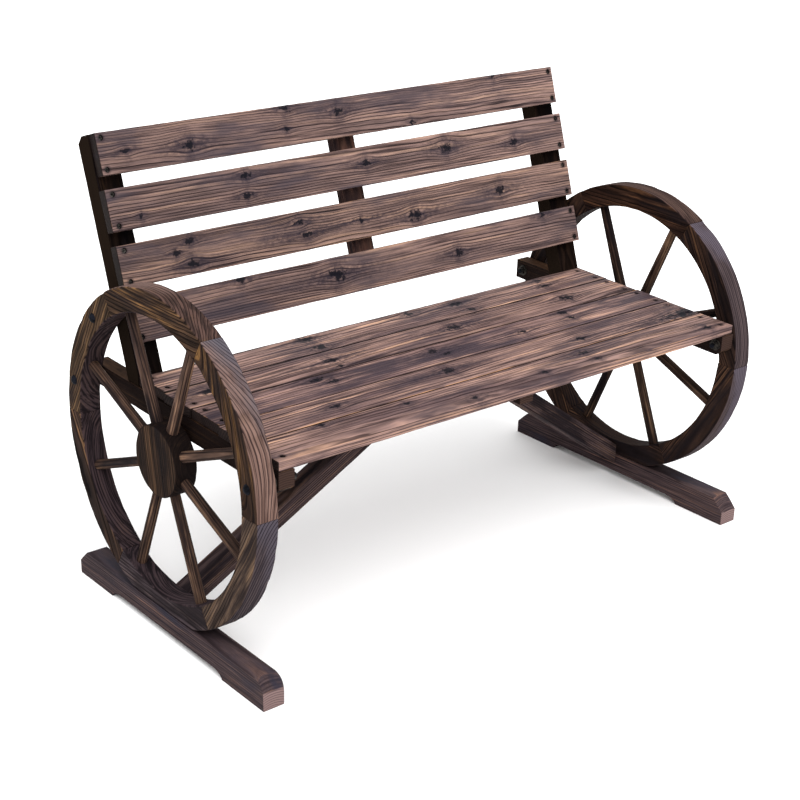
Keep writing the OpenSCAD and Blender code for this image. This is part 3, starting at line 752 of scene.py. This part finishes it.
def wood(name, look, knots=(), screws=None, **changes):
    """Scorched and brushed fir. The grain runs along x of the attribute called log; knots lie on its x and y."""
    look = {**PLAIN_LOOK, **LOOKS[look], **changes}
    m, g, shader = new_material(name)
    w = wood_space(g)
    bent, cores, stars = bend_round_knots(g, w, knots)
    grow_rings(g, w, look, bent)
    colour = grain_colour(g, w, look)
    sunk = g.add(g.mul(w.line, RELIEF["line"]), g.mul(w.crack, RELIEF["crack"]))
    height = g.sub(g.mul(w.fine, RELIEF["fine"]), sunk)
    colour = edge_colour(g, w, look, colour)
    if "tread" in look:
        colour = rim_colour(g, w, look, colour)
    colour = side_colour(g, w, look, colour)
    if knots:
        torn = g.span(grain_noise(g, w, "torn"), *LEVELS["torn_star"])
        colour = g.mix(g.mul(g.mul(highest(g, stars), torn), COVERS["star"]), colour, wood_tone(*SMOKE))
        core = highest(g, cores)
        colour = g.mix(g.mul(core, COVERS["knot"]), colour, wood_tone(*BLACK_KNOT))
        height = g.sub(height, g.mul(core, RELIEF["knot"]))
    if screws:
        colour = screw_colour(g, w, screws, colour)

    g.put(colour, shader.inputs["Base Color"])
    roughness = (look["rough"] - SMOOTHER, look["rough"] + ROUGHER)
    g.put(g.span(g.add(w.fine, w.line), *LEVELS["dull"], *roughness), shader.inputs["Roughness"])
    shader.inputs["Specular IOR Level"].default_value = look["gloss"]
    g.bump(height, RELIEF_STRENGTH, RELIEF_HEIGHT, shader)
    return m


# Stains on steel: detail and roughness of the noises, how much finer the scratches are, and how much they cover
STAIN_NOISE, SCRATCH_NOISE = (4.0, 0.6), (3.0, 0.7)
SCRATCH_FINER = (6, 1, 2)
STAIN_LEVELS, SCRATCH_LEVELS, STAIN_ROUGH_LEVELS = (0.38, 0.66), (0.58, 0.75), (0.3, 0.7)
SCRATCH_SHARE, GLINT = 0.3, 2
STEEL_STRENGTH, STEEL_HEIGHT = 0.3, 0.2


def stained(name, base, bright, metallic, low, high, scale, gloss=0.15):
    """Blackened or coated steel, or a hidden dowel, with stains and fine scratches. low and high are roughnesses."""
    m, g, shader = new_material(name)
    coords = g.nodes.new("ShaderNodeTexCoord").outputs["Object"]
    stain = g.noise(coords, scale, *STAIN_NOISE)
    finer = tuple([scale * k for k in SCRATCH_FINER])
    scratch = g.noise(g.vector("MULTIPLY", coords, finer), 1.0, *SCRATCH_NOISE)
    colour = g.mix(g.span(stain, *STAIN_LEVELS), srgb(*base), srgb(*bright))
    glint = srgb(*[min(255, GLINT * c) for c in bright])
    colour = g.mix(g.mul(g.span(scratch, *SCRATCH_LEVELS), SCRATCH_SHARE), colour, glint)
    g.put(colour, shader.inputs["Base Color"])
    shader.inputs["Metallic"].default_value = metallic
    shader.inputs["Specular IOR Level"].default_value = gloss
    g.put(g.span(stain, *STAIN_ROUGH_LEVELS, low, high), shader.inputs["Roughness"])
    g.bump(g.add(stain, scratch), STEEL_STRENGTH, STEEL_HEIGHT, shader)
    return m


# ---------------------------------------------------------------- pieces

SMOOTH_ANGLE = 38


def finish_piece(name, bm, matrix, half, material, node, shift=(0, 0, 0), light=None):
    """Makes the object, stores what its wood needs to know, and puts it on the frame."""
    mesh = bpy.data.meshes.new(name)
    bm.to_mesh(mesh)
    bm.free()
    count = len(mesh.vertices)
    coords = [v.co.copy() for v in mesh.vertices]
    log = mesh.attributes.new("log", "FLOAT_VECTOR", "POINT")
    flat = []
    for c in coords:
        flat += [c.x + shift[0], c.y + shift[1], c.z + shift[2]]
    log.data.foreach_set("vector", flat)
    if "cell" not in mesh.attributes:
        cell = mesh.attributes.new("cell", "FLOAT_VECTOR", "POINT")
        cell.data.foreach_set("vector", [k for c in coords for k in c])
        size = mesh.attributes.new("half", "FLOAT_VECTOR", "POINT")
        size.data.foreach_set("vector", list(half) * count)
    tone = [random.random() for _ in range(3)]
    if light is not None:
        tone[1] = light
    mesh.attributes.new("tone", "FLOAT_VECTOR", "POINT").data.foreach_set("vector", tone * count)
    mesh.transform(matrix.to_3x3().to_4x4())
    mesh.shade_smooth()
    mesh.set_sharp_from_angle(angle=math.radians(SMOOTH_ANGLE))
    piece = bpy.data.objects.new(name, mesh)
    bpy.context.scene.collection.objects.link(piece)
    piece.location = matrix.translation
    mod = piece.modifiers.new("normals", "WEIGHTED_NORMAL")
    mod.keep_sharp = True
    mesh.materials.append(material)
    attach(piece, "root")
    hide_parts(node)
    return piece


def timber(name, node, rotation, material, arris, step):
    """A planed piece that stands for its CAD node."""
    bm, matrix, half = planed(node, rotation, arris, step)
    finish_piece(name, bm, matrix, half, material, node)


random.seed(SEED)

# Knots and streaks, as (along the slat from the middle, across it from its middle, radius, stretch, wing), in mm.
# stretch is how much longer than wide the knot is. On the seat the across direction points to the rear, on the back it
# points up.
SEAT_KNOTS = {
    1: [(-358, 31, 3.8, 1.5, 30), (-204, 20, 3.8, 1.4, 0), (-102, -21, 4.4, 1.5, 22), (171, 18, 5, 1.6, 60),
        (174, -13, 4, 1.4, 0), (60, -7, 3.8, 1.4, 0), (437, -19, 4.4, 1.5, 30)],
    2: [(-297, -1, 5, 1.5, 30), (-62, 12, 6.9, 1.6, 120), (219, -8, 5.2, 1.5, 40), (462, -21, 11.2, 3.2, 60)],
    3: [(-262, 22, 5.6, 1.5, 60), (-245, 6, 5, 1.6, 40), (-31, 10, 5.6, 1.5, 90), (-16, -5, 4.4, 1.5, 30),
        (154, -3, 5, 1.5, 60), (279, 26, 5, 1.5, 30), (275, -1, 4.4, 1.5, 30)],
    4: [(-192, -1, 6.2, 1.6, 110), (-192, -26, 4.4, 1.5, 30), (-421, 4, 6.2, 1.8, 30), (75, 2, 6.9, 1.6, 100),
        (342, 3, 7.5, 1.4, 30)],
    5: [(-173, 21, 8.1, 1.4, 30), (-173, -18, 7.5, 1.3, 40), (49, 20, 5.6, 1.6, 30), (152, 13, 6.2, 1.5, 50),
        (156, -22, 5, 1.5, 20), (360, 23, 5.6, 1.5, 30), (354, -2, 6.2, 1.5, 50)],
}
BACK_KNOTS = {
    1: [(-321, -8, 6, 1.5, 60), (-129, 28, 4.5, 1.5, 40), (-133, -6, 3, 1.4, 0), (-23, 10, 5, 1.4, 40),
        (-433, -1, 3.5, 1.6, 30), (131, -27, 3, 1.5, 0), (333, 31, 3.5, 1.5, 20)],
    2: [(-227, 18, 4, 1.5, 40), (-230, -13, 4, 1.5, 30), (-429, -16, 2.6, 1.4, 0), (17, 5, 4.5, 1.5, 40),
        (196, 8, 6.5, 1.4, 50), (358, -5, 4.5, 1.5, 40)],
    3: [(-353, 19, 3.5, 1.5, 30), (-355, -17, 5.5, 1.5, 40), (-381, 4, 3.5, 1.5, 20), (-140, 13, 4.5, 1.5, 60),
        (-131, -6, 5, 1.5, 150), (-14, -2, 3, 1.5, 190), (104, -12, 6, 1.9, 60), (306, 1, 5, 1.5, 60)],
    4: [(-275, 30, 4, 2.0, 40), (-84, 3, 7.5, 1.7, 90), (184, -6, 4.5, 1.5, 40), (400, 28, 4, 1.5, 30)],
}
SEAT_CHANGES = {
    1: dict(offset=-34, depth=50, taper=0.010, open_side=-1, edge=(186, 142, 112), wear=0.28),
    2: dict(offset=-60, depth=46, taper=-0.006, front_edge=-1, edge=(200, 150, 114), wear=0.6),
    3: dict(offset=52, depth=44, taper=0.006, burn=0.46,
            ramp=((46, 36, 39), (86, 69, 71), (134, 107, 102), (174, 138, 120))),
    4: dict(offset=-46, depth=48, taper=-0.008, burn=0.32, wear=0.2, char=0.6),
    5: dict(offset=48, depth=52, taper=0.006, wear=0.2, char=0.7, burn=0.32),
}
BACK_CHANGES = {
    1: dict(offset=-48, depth=48, taper=0.008),
    2: dict(offset=44, depth=46, taper=-0.008),
    3: dict(offset=-52, depth=44, taper=0.006, ramp=((58, 46, 46), (100, 81, 77), (134, 108, 99), (160, 128, 110))),
    4: dict(offset=50, depth=50, taper=-0.006),
}
# Distance of a slat's screws from its middle, along and across
SEAT_SCREWS = (467, 23)
BACK_SCREWS = (470, 24)

# The seat slats' side tone is painted shade in the gaps between them; slat 1 has it only on its rear side.
for k in range(1, SEAT_SLATS + 1):
    board = wood(f"wood_seat_{k}", "seat", SEAT_KNOTS[k], SEAT_SCREWS,
                 end=(32, 24, 23), side=(24, 18, 18), **SEAT_CHANGES[k])
    timber(f"seat_board_{k}", f"seat_slat_{k}", SEAT_AXES, board, arris=1.5, step=10)
for k in range(1, BACK_SLATS + 1):
    board = wood(f"wood_back_{k}", "back", BACK_KNOTS[k], BACK_SCREWS, end=(26, 20, 19), **BACK_CHANGES[k])
    timber(f"back_board_{k}", f"back_slat_{k}", BACK_AXES, board, arris=1.5, step=10)

rail_wood = wood("wood_rail", "rail", end=(60, 45, 40))
brace_wood = wood("wood_brace", "brace", end=(40, 32, 32))
# The posts' wood carries painted shade.
shaded_upright_wood = wood("wood_upright_shaded", "post", end=(40, 28, 22))
batten_wood = wood("wood_batten", "brace", end=(40, 28, 25),
                   ramp=((22, 15, 14), (48, 33, 29), (78, 54, 47), (108, 78, 66)))
skid_wood = wood("wood_skid", "skid", end=(126, 104, 102))
for side in SIDES:
    timber(f"{side}_side_rail", f"{side}_rail", RAIL_AXES, rail_wood, arris=1.6, step=14)
    timber(f"{side}_post", f"{side}_upright", UPRIGHT_AXES, shaded_upright_wood, arris=1.8, step=14)
    timber(f"{side}_runner", f"{side}_skid", SKID_AXES, skid_wood, arris=2.0, step=12)
    timber(f"{side}_strut", f"{side}_brace", brace_axes(side), brace_wood, arris=1.8, step=16)
timber("seat_bearer", "centre_bearer", RAIL_AXES, rail_wood, arris=1.4, step=14)
timber("back_batten", "centre_batten", UPRIGHT_AXES, batten_wood, arris=1.4, step=14)

# Treads as (painted sheen, pale, brown, black). The painted sheen, a reflection of light painted into the colour, lies
# on the end of a block that is further round, from the front over the top.
BLUE_TREAD = ((82, 80, 88), (124, 99, 90), (90, 69, 62), (28, 22, 26))
TOP_TREAD = ((120, 98, 92), (84, 64, 58), (50, 39, 36), (20, 16, 17))
DARK_TREAD = ((58, 46, 44), (80, 62, 56), (58, 44, 41), (20, 16, 17))
PLUM_TREAD = ((86, 78, 87), (80, 68, 69), (58, 49, 51), (24, 19, 22))
STAIN_AND_SHEEN_TREAD = ((76, 70, 78), (72, 62, 64), (52, 45, 49), (22, 18, 22))
TREADS = {"left": {1: BLUE_TREAD, 2: TOP_TREAD, 6: STAIN_AND_SHEEN_TREAD}, "right": {1: PLUM_TREAD, 6: PLUM_TREAD}}
# The right wheel's darker ramp and inside tone, and its darker top block, are painted shade on a copy of the same wood.
FACES = {
    "left": dict(inside=(58, 47, 50)),
    "right": dict(inside=(46, 34, 29), ramp=((15, 11, 11), (36, 26, 23), (62, 45, 37), (108, 78, 56))),
}
FACE_CHANGES = {
    ("left", 1): dict(pitch=4.4, offset=44, depth=48, taper=-0.15, wander=8.0, tread_turn=(0.1, 1.5),
                      ramp=((20, 15, 13), (38, 28, 23), (62, 45, 34), (118, 86, 52))),
    ("left", 2): dict(pitch=3.2, offset=58, depth=50, burn=0.34, tread_turn=(-0.4, 0.8),
                      ramp=((20, 15, 13), (40, 30, 24), (72, 54, 42), (146, 108, 68))),
    ("left", 3): dict(offset=-52, ramp=((22, 17, 14), (50, 39, 30), (82, 63, 48), (130, 100, 68))),
    ("left", 5): dict(burn=0.5, ramp=((26, 21, 23), (50, 43, 47), (72, 62, 65), (96, 80, 74))),
    ("left", 6): dict(pitch=3.8, offset=-56, tread_turn=(0.1, 1.2),
                      ramp=((26, 20, 19), (58, 47, 42), (92, 75, 64), (124, 99, 78))),
    ("right", 2): dict(ramp=((14, 10, 10), (34, 23, 20), (58, 40, 32), (96, 66, 46))),
}
# How light each spoke is, from the front upwards; 0.5 is the wood's own colour. The right wheel's low values are
# painted shade.
SPOKE_LIGHT = {
    "left": (0.48, 0.56, 0.66, 0.42, 0.40, 0.34, 0.36, 0.32),
    "right": (0.22, 0.26, 0.24, 0.30, 0.18, 0.20, 0.22, 0.18),
}
# Random shifts of a piece in its log: along the grain, across it and below the face, in metres
ALONG = (-0.3, 0.3)
RIM_ACROSS, RIM_BELOW = (-0.02, 0.02), (-0.01, 0.02)
SPOKE_ACROSS = (-0.01, 0.01)
RIM_OFFSET = (-30, 30)

for side in SIDES:
    hub_lo, hub_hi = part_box(f"{side}_hub")
    centre = (hub_lo + hub_hi) / 2
    depth = (hub_hi.x - hub_lo.x) / 2
    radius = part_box(f"{side}_felloe_2")[1].z - centre.z
    inner = radius - RIM_WIDTH * MM
    flat = centre.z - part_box(f"{side}_felloe_5")[0].z
    for k in range(1, FELLOES + 1):
        bm, matrix = felloe(side, k, centre, radius, inner, flat, depth)
        changes = dict(FACES[side], tread=TREADS[side].get(k, DARK_TREAD), offset=random.uniform(*RIM_OFFSET))
        changes.update(FACE_CHANGES.get((side, k), {}))
        shift = (random.uniform(*ALONG), random.uniform(*RIM_ACROSS), random.uniform(*RIM_BELOW))
        finish_piece(f"{side}_rim_block_{k}", bm, matrix, None, wood(f"wood_rim_{side}_{k}", "wheel", **changes),
                     f"{side}_felloe_{k}", shift)
    spoke_wood = wood(f"wood_spoke_{side}", "spoke")
    for k in range(1, SPOKES + 1):
        bm, matrix, half = turned(f"{side}_spoke_{k}", centre)
        shift = (random.uniform(*ALONG), random.uniform(*SPOKE_ACROSS), 0)
        finish_piece(f"{side}_turned_spoke_{k}", bm, matrix, half, spoke_wood, f"{side}_spoke_{k}",
                     shift, SPOKE_LIGHT[side][k - 1])
    bm, matrix, half = hub(f"{side}_hub", side)
    finish_piece(f"{side}_hub_disc", bm, matrix, half, wood(f"wood_hub_{side}", "hub"), f"{side}_hub")


# ---------------------------------------------------------------- fasteners and what stays hidden

def dress(node, material, angle=32):
    """Gives a CAD node its material, smooth but for edges sharper than the angle."""
    o = nodes[node]
    o.data.materials.clear()
    o.data.materials.append(material)
    o.data.shade_smooth()
    o.data.set_sharp_from_angle(angle=math.radians(angle))


screw_metal = stained("metal_screw", (26, 25, 26), (88, 84, 80), metallic=0.7, low=0.28, high=0.5, scale=240.0)
bolt_metal = stained("metal_bolt", (8, 9, 12), (24, 25, 32), metallic=0.0, low=0.4, high=0.6, scale=160.0, gloss=0.02)
nut_metal = stained("metal_nut", (22, 20, 20), (60, 55, 50), metallic=0.3, low=0.4, high=0.65, scale=160.0)
dowel_wood = stained("wood_dowel", (120, 90, 62), (150, 116, 82), metallic=0.0, low=0.6, high=0.8, scale=90.0)
for name in ("seat_screws", "back_screws", "frame_screws", "long_screws"):
    dress(name, screw_metal)
dress("rim_bolts", bolt_metal, 50)
dress("rim_nuts", nut_metal)
dress("rim_washers", nut_metal)
dress("felloe_dowels", dowel_wood)


# ---------------------------------------------------------------- floor, light and camera

FLOOR_SIZE = 20
FLOOR_COLOUR = (0.94, 0.94, 0.94, 1)
FLOOR_ROUGHNESS = 0.9
SKY_COLOUR = (1, 1, 1, 1)
SKY_STRENGTH = 0.8

floor = bpy.data.objects.new("floor", bpy.data.meshes.new("floor"))
bm = bmesh.new()
bmesh.ops.create_grid(bm, x_segments=2, y_segments=2, size=FLOOR_SIZE)
bm.to_mesh(floor.data)
bm.free()
bpy.context.scene.collection.objects.link(floor)
pale, _, shader = new_material("pale_floor")
shader.inputs["Base Color"].default_value = FLOOR_COLOUR
shader.inputs["Roughness"].default_value = FLOOR_ROUGHNESS
floor.data.materials.append(pale)

world = bpy.data.worlds.new("studio")
bpy.context.scene.world = world
world.use_nodes = True
sky = world.node_tree.nodes["Background"]
sky.inputs["Color"].default_value = SKY_COLOUR
sky.inputs["Strength"].default_value = SKY_STRENGTH


def broad_light(name, towards, strength, spread):
    """A wide, soft and even light from one direction."""
    data = bpy.data.lights.new(name, "SUN")
    data.energy, data.angle = strength, math.radians(spread)
    o = bpy.data.objects.new(name, data)
    o.rotation_euler = Vector(towards).to_track_quat("-Z", "Y").to_euler()
    bpy.context.scene.collection.objects.link(o)


broad_light("key", (0.35, 0.75, -1.15), strength=2.9, spread=50)
broad_light("top", (-0.25, -0.15, -1.0), strength=1.4, spread=120)

# The photo's camera: the point that it looks at and its distance in mm, its angles in degrees, and its focal length
# and shifts in pixels of a picture 800 pixels wide
LOOKS_AT = (-130.522, -3.5, 187.171)
AZIMUTH, ELEVATION, ROLL = -38.8195, 24.6589, 1.0087
DISTANCE = 2661.88
FOCUS = 1591.007
SHIFT_X, SHIFT_Y = 35.964, 66.924
PICTURE = 800
SENSOR = 36

a, e, r = math.radians(AZIMUTH), math.radians(ELEVATION), math.radians(ROLL)
back = Vector((math.sin(a) * math.cos(e), -math.cos(a) * math.cos(e), math.sin(e)))
right = (-back).cross(Vector((0, 0, 1))).normalized()
up = right.cross(-back)
right, up = right * math.cos(r) + up * math.sin(r), up * math.cos(r) - right * math.sin(r)
place = Matrix.Translation((Vector(LOOKS_AT) + back * DISTANCE) * MM)
camera = bpy.data.objects.new("camera", bpy.data.cameras.new("camera"))
camera.matrix_world = place @ Matrix((right, up, back)).transposed().to_4x4()
camera.data.sensor_width = SENSOR
camera.data.lens = FOCUS / PICTURE * SENSOR
camera.data.shift_x = SHIFT_X / PICTURE
camera.data.shift_y = SHIFT_Y / PICTURE
bpy.context.scene.collection.objects.link(camera)
bpy.context.scene.camera = camera
bpy.context.scene.view_settings.view_transform = "Standard"
